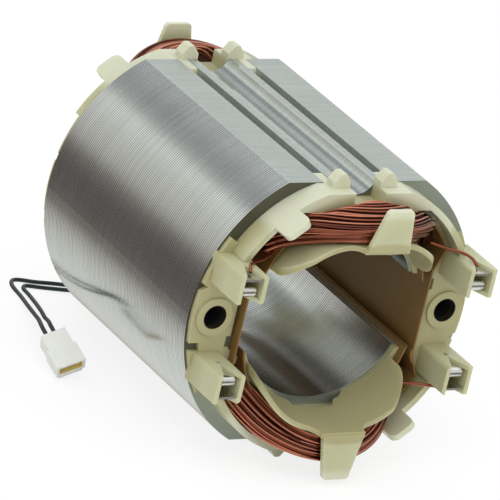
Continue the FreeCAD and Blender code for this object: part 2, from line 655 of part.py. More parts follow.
def wire_clip():
    """Curled spring clip on the inner side of a pocket, standing on the blade's foot."""
    half = CLIP_WIDTH / 2
    start = POCKET_FLOOR + STRIP
    inner = HOUSING_CENTRE_Z - POCKET_WIDTH / 2
    centre_y = start + CLIP_LENGTH
    centre_z = inner + CLIP_CURL_RADIUS
    leaf = block(HOUSING_CENTRE_X - half, HOUSING_CENTRE_X + half, start, centre_y, inner, inner + STRIP)
    place = Vector(HOUSING_CENTRE_X - half, centre_y, centre_z)
    curl = Part.makeCylinder(CLIP_CURL_RADIUS, CLIP_WIDTH, place, Vector(1, 0, 0))
    curl = curl.cut(Part.makeCylinder(CLIP_CURL_RADIUS - STRIP, CLIP_WIDTH, place, Vector(1, 0, 0)))
    mouth = block(HOUSING_CENTRE_X - half, HOUSING_CENTRE_X + half, start, centre_y,
                  inner + STRIP, centre_z + CLIP_CURL_RADIUS / 2)
    return leaf.fuse(curl.cut(mouth)).removeSplitter()


def lead_tube(points, name):
    """Insulated wire of straight runs joined by tangent arcs, every stretch a true cylinder or torus."""
    route = [Vector(*point) for point in points]
    half = LEAD_DIAMETER / 2
    pieces = []
    radii = []
    length = 0.0
    last = route[0]
    for before, corner, after in zip(route, route[1:], route[2:]):
        way_in = (corner - before).normalize()
        way_out = (after - corner).normalize()
        turn = way_in.getAngle(way_out)
        setback = BEND_SHARE * min((corner - before).Length, (after - corner).Length)
        radius = setback / math.tan(turn / 2)
        start = corner - way_in * setback
        axis = way_in.cross(way_out).normalize()
        centre = start + axis.cross(way_in) * radius
        pieces.append(Part.makeCylinder(half, (start - last).Length, last, way_in))
        section = Part.Face(Part.Wire(Part.Circle(start, way_in, half).toShape()))
        pieces.append(section.revolve(centre, axis, math.degrees(turn)))
        length += (start - last).Length + radius * turn
        radii.append(radius)
        last = corner + way_out * setback
    pieces.append(Part.makeCylinder(half, (route[-1] - last).Length, last, route[-1] - last))
    length += (route[-1] - last).Length
    tube = pieces[0].fuse(pieces[1:])
    ratio = tube.Volume / (math.pi * half ** 2 * length)
    print(name, "length", round(length, 2), "volume ratio", round(ratio, 4),
          "bend radii", [round(radius, 1) for radius in radii])
    return tube


def sensor_sleeve():
    """Shrink sleeve over the temperature sensor, tucked against the lower coil's rear end turns."""
    tip = Vector(*SENSOR_TIP)
    mouth = Vector(*SENSOR_MOUTH)
    sleeve = Part.makeCylinder(SENSOR_RADIUS, (mouth - tip).Length, tip, mouth - tip)
    cap = Part.makeSphere(SENSOR_RADIUS, tip)
    return sleeve.fuse(cap).removeSplitter()


def connector_parts():
    """White two-way wire housing with its two contacts, mouth toward +Y from its rear face."""
    half = CONNECTOR_WIDTH / 2
    high = CONNECTOR_THICKNESS / 2
    wide = half + CONNECTOR_SHOULDER
    body = block(-half, half, 0, CONNECTOR_LENGTH, -high, high)
    shoulder = block(-wide, wide, CONNECTOR_SHOULDER_START, CONNECTOR_LENGTH, -high, high - CONNECTOR_WALL)
    mouth = block(-wide + CONNECTOR_WALL, wide - CONNECTOR_WALL, CONNECTOR_LENGTH - CONNECTOR_MOUTH_DEPTH,
                  CONNECTOR_LENGTH + 1, -high + CONNECTOR_WALL, high - 2 * CONNECTOR_WALL)
    housing = body.fuse(shoulder).removeSplitter().cut(mouth)
    contacts = []
    for side in (-1, 1):
        x = side * CONNECTOR_PITCH / 2
        cell = (x - CONTACT_SIZE / 2, x + CONTACT_SIZE / 2, CONTACT_START)
        box = block(*cell, CONNECTOR_LENGTH - 1.0, -CONTACT_SIZE / 2, CONTACT_SIZE / 2)
        socket = block(x - SOCKET_SIZE / 2, x + SOCKET_SIZE / 2, CONNECTOR_LENGTH / 2, CONNECTOR_LENGTH,
                       -SOCKET_SIZE / 2, SOCKET_SIZE / 2)
        housing = housing.cut(block(*cell, CONNECTOR_LENGTH, -CONTACT_SIZE / 2, CONTACT_SIZE / 2))
        contacts.append(box.cut(socket))
    return housing, contacts


def placed_connector(shape):
    """Put a connector piece at the leads' ends, its width across them and its mouth along their last runs."""
    end_a = Vector(*LEAD_A[-1])
    end_b = Vector(*LEAD_B[-1])
    along = (end_a - Vector(*LEAD_A[-2])).normalize() + (end_b - Vector(*LEAD_B[-2])).normalize()
    spin = Rotation(end_b - end_a, along, Vector(0, 0, 1), "XYZ")
    placed = shape.copy()
    placed.Placement = Placement((end_a + end_b) * 0.5, spin)
    return placed


def build():
    """All nodes by name."""
    nodes = {"lamination_stack": lamination_stack()}
    nodes["front_end_frame"] = front_frame()
    nodes["rear_end_frame"] = at_rear(end_frame(TAB_LEAN_REAR, TAB_LEAN_REAR))
    nodes.update(liners())
    sleeve = sensor_sleeve()
    frames = [nodes["front_end_frame"], nodes["rear_end_frame"]]
    nodes["upper_coil"] = wound_coil(CROWN_RADIUS_FRONT_UPPER, CROWN_RADIUS, frames)
    below = [half_turn(shape) for shape in frames + [sleeve]]
    nodes["lower_coil"] = half_turn(wound_coil(CROWN_RADIUS, CROWN_RADIUS, below))
    nodes["sensor_sleeve"] = sleeve
    for place, shape in four_ways(terminal_blade()).items():
        nodes["terminal_blade_" + place] = at_front(shape)
    for place, shape in four_ways(wire_clip()).items():
        nodes["wire_clip_" + place] = at_front(shape)
    nodes["sensor_lead_a"] = lead_tube(LEAD_A, "sensor_lead_a")
    nodes["sensor_lead_b"] = lead_tube(LEAD_B, "sensor_lead_b")
    housing, contacts = connector_parts()
    nodes["connector_housing"] = placed_connector(housing)
    nodes["connector_contact_a"] = placed_connector(contacts[0])
    nodes["connector_contact_b"] = placed_connector(contacts[1])
    return nodes


os.makedirs("parts", exist_ok=True)
for node_name, node_shape in build().items():
    node_shape.exportStep("parts/" + node_name + ".step")
    box = node_shape.BoundBox
    print(node_name, "solids", len(node_shape.Solids), "valid", node_shape.isValid(),
          "volume", round(node_shape.Volume, 1),
          "box", [round(v, 2) for v in (box.XMin, box.XMax, box.YMin, box.YMax, box.ZMin, box.ZMax)])
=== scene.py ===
# %% [markdown]
# # A wound stator, dressed for its photograph
#
# The stator is the still half of a small motor: a stack of steel sheets with two wire
# coils inside it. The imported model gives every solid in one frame, in metres: the
# motor's axis is Y, the terminals face -Y and the upper pole is at +Z. All of it could
# be drawn again here, but the solids already have the right form and size, so this
# lesson adds only what they leave out: the single wires of the coils, the smooth run of
# the sensor lead, and a procedural material for every surface. Camera and light come
# last. Sizes are in millimetres and repeat those of the model's source. They could be
# measured on the meshes, but a named number is easier to follow.

import math

import bmesh
import bpy
import numpy as np
from mathutils import Matrix, Vector


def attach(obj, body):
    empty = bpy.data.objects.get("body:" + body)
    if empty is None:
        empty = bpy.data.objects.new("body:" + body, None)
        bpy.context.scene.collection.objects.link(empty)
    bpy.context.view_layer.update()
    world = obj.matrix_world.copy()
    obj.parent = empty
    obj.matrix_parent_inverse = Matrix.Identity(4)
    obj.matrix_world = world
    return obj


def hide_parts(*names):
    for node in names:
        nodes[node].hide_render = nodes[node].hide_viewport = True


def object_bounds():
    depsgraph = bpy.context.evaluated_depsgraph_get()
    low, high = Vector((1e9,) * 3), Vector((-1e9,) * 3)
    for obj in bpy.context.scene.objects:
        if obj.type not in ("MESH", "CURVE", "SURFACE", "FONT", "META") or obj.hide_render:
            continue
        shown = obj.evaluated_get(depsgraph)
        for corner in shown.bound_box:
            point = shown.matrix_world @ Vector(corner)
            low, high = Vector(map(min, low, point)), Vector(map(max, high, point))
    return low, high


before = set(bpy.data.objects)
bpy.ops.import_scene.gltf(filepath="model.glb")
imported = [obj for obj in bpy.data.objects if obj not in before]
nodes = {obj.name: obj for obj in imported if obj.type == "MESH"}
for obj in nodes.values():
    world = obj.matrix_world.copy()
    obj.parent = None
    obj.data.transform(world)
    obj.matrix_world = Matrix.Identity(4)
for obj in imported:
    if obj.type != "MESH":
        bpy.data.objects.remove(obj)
cad_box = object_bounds()
scene = bpy.context.scene
scene.view_settings.view_transform = "Standard"
MM = 0.001


def in_mm(corner):
    return [round(v / MM, 2) for v in corner]


print(len(nodes), "solids from", in_mm(cad_box[0]), "to", in_mm(cad_box[1]))

# %% [markdown]
# ## Arithmetic on shader sockets
#
# Procedural materials are formulas. Built node by node they take many lines and hide
# the formula, so a small class wraps a socket instead. A `Signal` is a value or a
# colour on its way through a node tree. Plus, minus, times and divide each add one Math
# node, so a formula in Python becomes the same formula in the shader. Every other kind
# of node comes from the one method `node`, which also sets the stops of a colour ramp.

# %% A socket that can be used in a formula
class Signal:
    """An output socket that arithmetic can be done with."""

    def __init__(self, tree, socket=None):
        self.tree = tree
        self.socket = socket

    def node(self, kind, inputs=(), output=0, stops=(), **settings):
        """Add any shader node, set it up, feed it, and return one of its outputs."""
        made = self.tree.nodes.new("ShaderNode" + kind)
        for name, value in settings.items():
            setattr(made, name, value)
        for position, colour in stops:
            made.color_ramp.elements.new(position).color = colour
        if stops:
            made.color_ramp.elements.remove(made.color_ramp.elements[-1])
            made.color_ramp.elements.remove(made.color_ramp.elements[0])
        for name, value in dict(inputs).items():
            if isinstance(value, Signal):
                self.tree.links.new(value.socket, made.inputs[name])
            else:
                made.inputs[name].default_value = value
        return Signal(self.tree, made.outputs[output] if made.outputs else None)

    def math(self, operation, first, second=0.0):
        return self.node("Math", {0: first, 1: second}, operation=operation)

    def __add__(self, other):
        return self.math("ADD", self, other)

    def __radd__(self, other):
        return self.math("ADD", other, self)

    def __sub__(self, other):
        return self.math("SUBTRACT", self, other)

    def __rsub__(self, other):
        return self.math("SUBTRACT", other, self)

    def __mul__(self, other):
        return self.math("MULTIPLY", self, other)

    def __rmul__(self, other):
        return self.math("MULTIPLY", other, self)

    def __truediv__(self, other):
        return self.math("DIVIDE", self, other)

    def __rtruediv__(self, other):
        return self.math("DIVIDE", other, self)

    def __pow__(self, other):
        return self.math("POWER", self, other)

    def __rpow__(self, other):
        return self.math("POWER", other, self)

    def __abs__(self):
        return self.math("ABSOLUTE", self)


# %% [markdown]
# ## Helpers for every material
#
# A finish on a real part depends on where it is: ground outside, oily inside, dusty in
# a corner. So each material starts from the place on the object, in millimetres, and
# not from a painted image, which would need its seams hidden. `surface` starts a
# material and hands back its shader and that place, `feed` links a signal to a node,
# `ramp` turns a value into a soft step, and `mixed` blends two colours.

# %% Start a material, feed it, blend in it
def surface(name, constants):
    made = bpy.data.materials.new(name)
    made.use_nodes = True
    tree = made.node_tree
    shader = tree.nodes["Principled BSDF"]
    for socket, value in constants.items():
        shader.inputs[socket].default_value = value
    start = Signal(tree)
    metres = start.node("TexCoord", output="Object")
    place = start.node("VectorMath", {0: metres, "Scale": 1 / MM}, operation="SCALE")
    return made, shader, place


def feed(node, socket, signal):
    signal.tree.links.new(signal.socket, node.inputs[socket])


def ramp(value, low, high):
    """0 below low, 1 above high, smooth between them."""
    return value.node("MapRange", {"Value": value, "From Min": low, "From Max": high},
                      interpolation_type="SMOOTHSTEP")


def mixed(amount, first, second, blend="MIX"):
    """The first colour where amount is 0, the second where it is 1."""
    colours = [c if isinstance(c, Signal) else (*c, 1.0) for c in (first, second)]
    source = amount if isinstance(amount, Signal) else first
    return source.node("Mix", {"Factor": amount, 6: colours[0], 7: colours[1]}, output=2,
                       data_type="RGBA", blend_type=blend)


# %% Places, unevenness, relief and painting
def axes(place):
    """X, Y and Z of a place, each as a signal."""
    first = place.node("SeparateXYZ", {0: place})
    return [Signal(first.tree, socket) for socket in first.socket.node.outputs]


def distance(first, second):
    """Length of the line that goes so far one way and so far the other."""
    return (first * first + second * second) ** 0.5


def noise(place, scale, detail=3.0, stretch=None):
    """Noise of a given count of cells per millimetre, stretched along an axis if asked."""
    where = place
    if stretch is not None:
        where = place.node("VectorMath", {0: place, 1: stretch}, operation="MULTIPLY")
    return where.node("TexNoise", {"Vector": where, "Scale": scale, "Detail": detail})


def bump(height, depth_mm, strength):
    return height.node("Bump", {"Height": height, "Distance": depth_mm * MM, "Strength": strength})


def paint(material, *names):
    """Give a material to solids that keep their own mesh."""
    for name in names:
        data = nodes[name].data
        data.materials.clear()
        data.materials.append(material)


# %% [markdown]
# ## Stacked steel: where each finish lies
#
# The stack is about a hundred stamped sheets, each 0.5 mm thick. Its outside and its
# bore are ground, so every sheet shows there as a hairline round the steel. The flats
# and grooves are as stamped, duller and greener, and the end faces are one plain sheet.
# A hundred real plates would cost many faces for lines a tenth of a millimetre wide, so
# the lines are a formula on Y, and masks tell ground steel from stamped steel.

# %% Sheets and seams along the axis
SHEET = 0.5
HALF_STACK = 25.25
SEAM_START, SEAM_FULL = 0.26, 0.46

steel, steel_shader, place = surface("sheet_steel", {"Specular IOR Level": 0.5})
x, y, z = axes(place)
count = (y + HALF_STACK) / SHEET
sheet = count.math("FLOOR", count)
from_middle = abs(count - sheet - 0.5)
seam = ramp(from_middle, SEAM_START, SEAM_FULL)
tone = sheet.node("TexWhiteNoise", {"W": sheet}, output="Value", noise_dimensions="1D")
brushed = noise(place, scale=1.0, stretch=(0.07, 6.0, 0.07))
blotch = noise(place, scale=0.09, detail=4.0)
grain = noise(place, scale=1.4)
print("steel:", round(2 * HALF_STACK / SHEET), "sheets, a seam every", SHEET, "mm")

# %% Masks for ground steel, the pressed groove and the screw holes
STEEL_RADIUS, BORE = 27.5, 16.25
GROUND_DEPTH = 0.25
GROOVE_HALF = 3.9
SCREW_X, SCREW_RADIUS = 23.0, 2.1

radius = distance(x, z)
side = ramp(HALF_STACK - abs(y), 0.005, 0.02)
turned = ramp(radius, STEEL_RADIUS - GROUND_DEPTH, STEEL_RADIUS - 0.1)
honed = ramp(BORE + GROUND_DEPTH - radius, 0.0, 0.1)
machined = turned.math("MAXIMUM", turned, honed) * side
groove = 1.0 - ramp(abs(x), GROOVE_HALF - 0.1, GROOVE_HALF + 0.1)
groove = groove * ramp(abs(z), BORE, BORE + 1.0) * side
from_screw = distance(abs(x) - SCREW_X, z)
hole = (1.0 - ramp(from_screw, SCREW_RADIUS + 0.01, SCREW_RADIUS + 0.05)) * side
print("steel: ground outside", STEEL_RADIUS, "mm and inside", BORE, "mm")

# %% [markdown]
# ## Stacked steel: colour and relief
#
# The colour starts from the dull stamped steel and turns to ground steel where the
# machined mask is 1. Two materials on two sets of faces would do the same with a hard
# edge, while a mask lets the finish fade over the last tenth of a millimetre, as a
# grinding wheel leaves it. Seams darken both, and the deep screw holes are coloured
# near black as painted shade. An end sheet is grey, darker and browner towards its
# upper left.

# %% Steel colours
DARK_SIDE_EDGE, LIGHT_SIDE_EDGE = -24.0, -6.0
END_DARK, END_LIGHT = (0.12, 0.115, 0.085), (0.45, 0.50, 0.42)
HOLE_SHADE_BLACK = (0.012, 0.011, 0.012)

ground = mixed(brushed, (0.56, 0.575, 0.56), (0.69, 0.705, 0.68))
stamped = mixed(grain, (0.50, 0.535, 0.51), (0.62, 0.655, 0.63))
# The end sheet is darker and browner towards its upper left.
end_sheet = mixed(ramp(x - 0.9 * z, DARK_SIDE_EDGE, LIGHT_SIDE_EDGE), END_DARK, END_LIGHT)
# Painted shade: the deep screw holes are coloured near black.
long_side = mixed(hole, mixed(machined, stamped, ground), HOLE_SHADE_BLACK)
steel_colour = mixed(side, end_sheet, long_side)
seam_shade = (0.28 + 0.24 * machined) * seam * side
level = 0.95 + 0.08 * tone + 0.12 * (blotch - 0.5) - seam_shade
grey = level.node("CombineColor", {0: level, 1: level, 2: level})
feed(steel_shader, "Base Color", mixed(1.0, steel_colour, grey, blend="MULTIPLY"))
print("steel: colour from", len(steel.node_tree.nodes), "nodes")

# %% Steel gloss and relief
rough = 0.40 - 0.25 * machined - 0.26 * groove + 0.05 * blotch + 0.4 * hole
feed(steel_shader, "Metallic", (0.70 + 0.28 * machined + 0.26 * groove) * (1.0 - hole))
feed(steel_shader, "Roughness", rough)
sheet_edges = (0.15 * tone + 0.15 * brushed - 0.8 * seam) * side * (1.0 - 0.8 * groove)
relief = sheet_edges + 0.12 * grain * (1.0 - groove)
feed(steel_shader, "Normal", bump(relief, depth_mm=0.012, strength=0.32))
paint(steel, "lamination_stack")
print("steel on lamination_stack")

# %% [markdown]
# ## Natural nylon
#
# The end frames are moulded in unfilled nylon, creamy and slightly green, and light
# goes a millimetre or two into them. Glass-like transmission would be slow and too
# clear for walls this thick, so the skin uses subsurface scattering. The roots by the
# steel and the side of the flange towards the bore are olive and darker: the thick
# nylon's deeper tone with painted shade over it. The thin rims over the poles are
# painted paler, partly the thin nylon's own tone and partly painted light through it.

# %% Nylon: where it is thick or thin, and where light and shade are painted
FLANGE_OUTSIDE, FLARE = 17.5, 0.12
ROOT_START, ROOT_END = 0.5, 6.5
RIM_START, RIM_FULL = 22.8, 24.6
RIM_SIDE_START, RIM_SIDE_END = 17.0, 19.0

nylon, nylon_shader, place = surface("natural_nylon", {
    "IOR": 1.5, "Subsurface Weight": 0.35, "Subsurface Radius": (1.0, 0.9, 0.45),
    "Subsurface Scale": 0.0016, "Coat Weight": 0.25, "Coat Roughness": 0.2})
x, y, z = axes(place)
radius = distance(x, z)
beyond = abs(y) - HALF_STACK
# Painted shade, with the thick nylon's deeper tone: darker olive at the roots by the steel.
root = 1.0 - ramp(beyond, ROOT_START, ROOT_END)
# Painted shade on the side of the flange towards the bore.
bore_side_shade = 1.0 - ramp(radius - FLARE * beyond, FLANGE_OUTSIDE - 0.8, FLANGE_OUTSIDE - 0.1)
olive_and_shade = bore_side_shade.math("MAXIMUM", root * 0.6, bore_side_shade * 0.62)
# Paler over the thin rims: partly thin nylon's own tone, partly painted light shining through.
thin_rim_light = ramp(radius, RIM_START, RIM_FULL) * (1.0 - ramp(abs(x), RIM_SIDE_START, RIM_SIDE_END))
# Painted shade: the walls of the screw holes are coloured near-black brown.
from_screw = distance(abs(x) - SCREW_X, z)
screw_hole_shade = 1.0 - ramp(from_screw, SCREW_RADIUS + 0.03, SCREW_RADIUS + 0.12)
print("nylon: flange outside", FLANGE_OUTSIDE, "mm from the axis")

# %% Nylon: colour, gloss and relief
OLIVE_AND_SHADE, PALE_RIM_AND_LIGHT, HOLE_SHADE_BROWN = (0.38, 0.33, 0.15), (0.70, 0.71, 0.55), (0.035, 0.025, 0.016)

cloud = noise(place, scale=0.16)
flow = noise(place, scale=0.8, detail=2.0, stretch=(1.0, 0.25, 1.0))
skin = noise(place, scale=9.0, detail=2.0)
body = mixed(cloud, (0.495, 0.485, 0.285), (0.605, 0.60, 0.405))
moulded = mixed(thin_rim_light * 0.8, mixed(olive_and_shade, body, OLIVE_AND_SHADE), PALE_RIM_AND_LIGHT)
feed(nylon_shader, "Base Color", mixed(screw_hole_shade, moulded, HOLE_SHADE_BROWN))
feed(nylon_shader, "Roughness", 0.24 + 0.16 * flow)
feed(nylon_shader, "Normal", bump(0.7 * flow + 0.3 * skin, depth_mm=0.02, strength=0.5))
paint(nylon, "front_end_frame", "rear_end_frame")
print("nylon on both end frames")

# %% [markdown]
# ## Slot paper
#
# The liners are amber insulating paper soaked in varnish. Loose fibres could be drawn
# as hairs, but none would show at this size, and the solids are plain sheets. So a
# noise drawn out along the slot gives both the streaks of colour and a very shallow
# relief.

# %% Varnished paper for the four liners
QUARTERS = ("upper_right", "upper_left", "lower_right", "lower_left")

paper, paper_shader, place = surface("slot_paper", {
    "IOR": 1.45, "Coat Weight": 0.25, "Coat Roughness": 0.3})
fibre = noise(place, scale=1.2, detail=4.0, stretch=(1.0, 0.08, 1.0))
stain = noise(place, scale=0.14)
amber = mixed(fibre, (0.13, 0.062, 0.014), (0.24, 0.125, 0.030))
feed(paper_shader, "Base Color", mixed(stain, amber, (0.28, 0.165, 0.050)))
feed(paper_shader, "Roughness", 0.38 + 0.2 * fibre)
feed(paper_shader, "Normal", bump(fibre, depth_mm=0.03, strength=0.6))
paint(paper, *("slot_liner_" + quarter for quarter in QUARTERS))
print("paper on", len(QUARTERS), "liners")

# %% [markdown]
# ## Terminals
#
# The blades and clips are stamped brass with a coat of tin, bright with soft ripples
# from the plating bath. Colour, gloss and relief could each have a noise, but the parts
# are small in the picture, so one noise varies all three together, which keeps bright
# spots where the metal is smoothest.

# %% Tin plate for the terminals
tin, tin_shader, place = surface("tin_plate", {"Metallic": 1.0})
ripple = noise(place, scale=0.9)
feed(tin_shader, "Base Color", mixed(ripple, (0.66, 0.66, 0.63), (0.86, 0.86, 0.84)))
feed(tin_shader, "Roughness", 0.16 + 0.18 * ripple)
feed(tin_shader, "Normal", bump(ripple, depth_mm=0.05, strength=0.5))
for quarter in QUARTERS:
    paint(tin, "terminal_blade_" + quarter, "wire_clip_" + quarter)
print("tin on", 2 * len(QUARTERS), "terminal parts")

# %% [markdown]
# ## Insulation of the sensor lead
#
# The lead's two wires and the sleeve at its root share a near-black plastic that leans
# to green. It is shiny where it is handled, which a thin clear coat over a softly
# uneven base gives better than one roughness would.

# %% Dark insulation
rubber, rubber_shader, place = surface("dark_insulation", {
    "IOR": 1.5, "Coat Weight": 0.2, "Coat Roughness": 0.3})
rub = noise(place, scale=0.7)
feed(rubber_shader, "Base Color", mixed(rub, (0.006, 0.012, 0.013), (0.020, 0.036, 0.038)))
feed(rubber_shader, "Roughness", 0.30 + 0.22 * rub)
feed(rubber_shader, "Normal", bump(rub, depth_mm=0.01, strength=0.4))
paint(rubber, "sensor_sleeve")
print("insulation on the sleeve")

# %% [markdown]
# ## Enamelled copper
#
# Magnet wire is bright copper under a clear red-brown enamel, so it is a metal with a
# thin gloss coat. Neighbouring turns differ a little. A noise over the whole coil
# would put blotches across them, so there are three tones of one finish, and each turn
# takes one of them along its whole length. The pale tone is brightened into painted
# highlight lines, and the dark tone also serves as painted shade on the buried layer.
# Between the turns the bundle is painted almost black, as painted shade.

# %% Three tones of enamelled wire
def enamel(name, dark, light):
    made, shader, place = surface(name, {"Coat Weight": 0.4, "Coat Roughness": 0.06})
    wear = noise(place, scale=0.25, detail=2.0)
    feed(shader, "Base Color", mixed(wear, dark, light))
    feed(shader, "Metallic", 0.92 + 0.08 * wear)
    feed(shader, "Roughness", 0.08 + 0.07 * wear)
    return made


copper_tones = [
    enamel("enamelled_copper_mid", (0.26, 0.062, 0.030), (0.42, 0.130, 0.066)),
    # Painted highlight: this pale tone is a turn's own lighter tone, brightened into highlight lines.
    enamel("enamelled_copper_pale_and_highlight", (0.53, 0.172, 0.102), (0.74, 0.298, 0.190)),
    # The dark tone is a turn's own darker tone, and painted shade on the buried layer.
    enamel("enamelled_copper_dark_and_shade", (0.12, 0.027, 0.014), (0.22, 0.058, 0.031)),
]
MID, PALE_AND_HIGHLIGHT, DARK_AND_SHADE = range(3)
print("copper tones:", [tone.name for tone in copper_tones])

# %% The dark inside of the bundle, as painted shade
shade, shade_shader, place = surface("bundle_painted_shade", {"Specular IOR Level": 0.2})
deep = noise(place, scale=1.0, detail=2.0)
feed(shade_shader, "Base Color", mixed(deep, (0.020, 0.006, 0.004), (0.055, 0.016, 0.009)))
feed(shade_shader, "Roughness", 0.6 + 0.2 * deep)
print("one more finish for the depth of the bundle")

# %% [markdown]
# ## Where a turn of wire runs
#
# A field coil is wound flat, then pressed into its slots and arched over both ends, so
# a turn is a flat outline that is bent onto a cylinder. Hand-placed points for each of
# some sixty turns would never lie side by side, so two formulas place them all. `share`
# says which turn it is, from the innermost to the outermost, and `depth` how far out it
# lies, from the flange to the crown.

# %% The flat outline of a turn
TURN_HALF_WIDTH = (7.85, 18.2)
TURN_REACH = (2.4, 12.2)
TURN_ARC = (12.0, 20.0)
SIDE_POINTS, ARCH_POINTS = 6, 18


def between(pair, share):
    return pair[0] + share * (pair[1] - pair[0])


def turn_outline(share):
    """X and Y of the points of one closed turn."""
    half = between(TURN_HALF_WIDTH, share)
    reach = HALF_STACK + between(TURN_REACH, share)
    arc = between(TURN_ARC, share)
    corner = reach - arc + math.sqrt(arc ** 2 - half ** 2)
    along = np.linspace(-1, 1, SIDE_POINTS + 2)[1:-1] * corner
    across = half * np.cos(np.linspace(0, math.pi, ARCH_POINTS))
    end = reach - arc + np.sqrt(arc ** 2 - across ** 2)
    xs = np.concatenate([np.full(SIDE_POINTS, half), across, np.full(SIDE_POINTS, -half), -across])
    ys = np.concatenate([along, end, -along, -end])
    return xs, ys


middle_turn = turn_outline(0.5)
print("a middle turn has", len(middle_turn[0]), "points and is",
      round(2 * float(middle_turn[0].max()), 1), "mm wide")

# %% The room that a coil fills
WIRE_ROOM = 0.65
INSET = WIRE_ROOM / 2
COIL_FLOOR = 9.4
SLOT_INNER, SLOT_OUTER, SLOT_TOP = 18.6, 22.8, 20.1
SLOT_OUTER_LEAST = 10.0
CHANNEL, ROOF_SLOPE = 4.9, 4.0
FLARE_RADIUS, FLARE_LENGTH = 19.5, 14.0
FLARE_ANGLES, FLARE_SLOPES = (0.0, 22.0, 44.0, 66.0), (0.0, 0.08, FLARE, FLARE)
CROWN_LIMIT = 24.0
COIL_PINCH, LOBE_PINCH = 0.07, 0.22
SLOT_LEAVE_START, SLOT_LEAVE_LENGTH = 1.0, 3.0


def leaving(ys):
    """0 inside the slot and 1 where a turn is out in the open."""
    out = np.clip((np.abs(ys) - HALF_STACK + SLOT_LEAVE_START) / SLOT_LEAVE_LENGTH, 0, 1)
    return out * out * (3 - 2 * out)


def draw_in(xs, ys, depth):
    """The turns next to the flange pass it between its lobes, so they lie closer together."""
    return xs * (1 - (COIL_PINCH + LOBE_PINCH * (1 - depth) ** 2) * leaving(ys))


def skin_height(radius, xs, least):
    """Height of a cylinder's skin over the axis, and no lower than least."""
    return np.sqrt(np.maximum(radius ** 2 - xs ** 2, least ** 2))


print("a coil fills radii of", SLOT_INNER, "to", SLOT_OUTER, "mm in the slot and", CROWN_LIMIT, "outside")

# %% Bending the outline over the ends
SIDE_RISE, SIDE_START, SIDE_LENGTH = 1.7, 6.0, 9.0
ROOT_RISE, ROOT_REACH, ROOT_LENGTH = 1.6, 11.0, 5.5
END_FALL, END_START, END_LENGTH = 1.2, 6.6, 6.1


def crown_radius(xs, ys, crowns):
    """The crown is lowest in the middle and at the far end, and higher at the sides and roots."""
    beyond = np.abs(ys) - HALF_STACK
    middle = np.where(ys < 0, crowns[0], crowns[1])
    rise = np.maximum(SIDE_RISE * np.clip((np.abs(xs) - SIDE_START) / SIDE_LENGTH, 0, 1),
                      ROOT_RISE * np.clip((ROOT_REACH - beyond) / ROOT_LENGTH, 0, 1))
    fall = END_FALL * np.clip((beyond - END_START) / END_LENGTH, 0, 1)
    return np.minimum(middle + rise, CROWN_LIMIT) - fall - INSET


def bend_on(xs, ys, depth, crowns):
    """Height of each point of a turn, from the slot to the crown of the end it passes."""
    beyond = np.abs(ys) - HALF_STACK
    angle = np.degrees(np.arcsin(np.clip(np.abs(xs) / FLARE_RADIUS, 0, 1)))
    flare = np.interp(angle, FLARE_ANGLES, FLARE_SLOPES) * np.clip(beyond, 0, FLARE_LENGTH)
    inner = FLANGE_OUTSIDE + flare + INSET
    radial = inner + depth * (crown_radius(xs, ys, crowns) - inner)
    over = skin_height(radial, xs, COIL_FLOOR)
    low = skin_height(SLOT_INNER + INSET, xs, COIL_FLOOR + INSET)
    high = np.minimum(skin_height(SLOT_OUTER - INSET, xs, SLOT_OUTER_LEAST), SLOT_TOP - INSET)
    inside = low + depth * (np.maximum(high, low) - low)
    height = inside + leaving(ys) * (over - inside)
    roof = SLOT_TOP - INSET + ROOF_SLOPE * np.maximum(beyond - CHANNEL, 0)
    return np.clip(height, COIL_FLOOR + INSET, roof)


print("crown: up to", SIDE_RISE, "mm higher at the sides,", END_FALL, "mm lower at the end")

# %% [markdown]
# ## Winding the coils
#
# A real coil has over a hundred turns, and most of them are buried. All of them could
# be made, but only those that can be seen are: one layer over the end face, the crown
# and the flange side, and one below it that fills the gaps, always in the dark tone as
# painted shade. Each wanders a little and some cross their neighbours, as hand-fed
# turns do. The unevenness comes from a seeded generator, so a coil comes out the same
# each time.

# %% Which turns show, and how they wander
FACE_SHARE, CROWN_DEPTH, FLANGE_DEPTH = 0.955, 0.985, 0.02
CROWN_WIRES, FLANGE_WIRES = 15, 9
BELOW_SHARE, BELOW_DEPTH, BELOW_WIRES = 0.91, 0.86, 10
WAY_ROUND = np.linspace(0, 2 * math.pi, 2 * (SIDE_POINTS + ARCH_POINTS), endpoint=False)


def visible_turns(rows):
    """Share, depth and layer of the wires that show: the end face has `rows` of them."""
    face = [(FACE_SHARE, t) for t in np.linspace(0.03, 0.97, rows)]
    crown = [(s, CROWN_DEPTH) for s in np.linspace(0.10, 0.92, CROWN_WIRES)]
    under = [(s, FLANGE_DEPTH) for s in np.linspace(0.35, 0.90, FLANGE_WIRES)]
    below = [(BELOW_SHARE, t) for t in np.linspace(0.10, 0.90, rows - 1)]
    below += [(s, BELOW_DEPTH) for s in np.linspace(0.18, 0.85, BELOW_WIRES)]
    return [(s, t, True) for s, t in face + crown + under] + [(s, t, False) for s, t in below]


def wander(rng, size):
    """Smooth closed unevenness along a turn."""
    return sum(rng.normal(0, size / k) * np.cos(k * WAY_ROUND + rng.uniform(0, 6.3))
               for k in (1, 2, 3))


print("with 12 wires on its end face, a coil shows", len(visible_turns(12)), "turns")

# %% [markdown]
# ## Coil ends
#
# The two ends of a coil are led over the terminal housings, down through the notch in
# the wall and onto the blade. They could be tubes of their own, but a coil and its ends
# are one wire, so each becomes one more run of the coil's curve. The routes are those
# of the solids, given from the top edge of the housing.

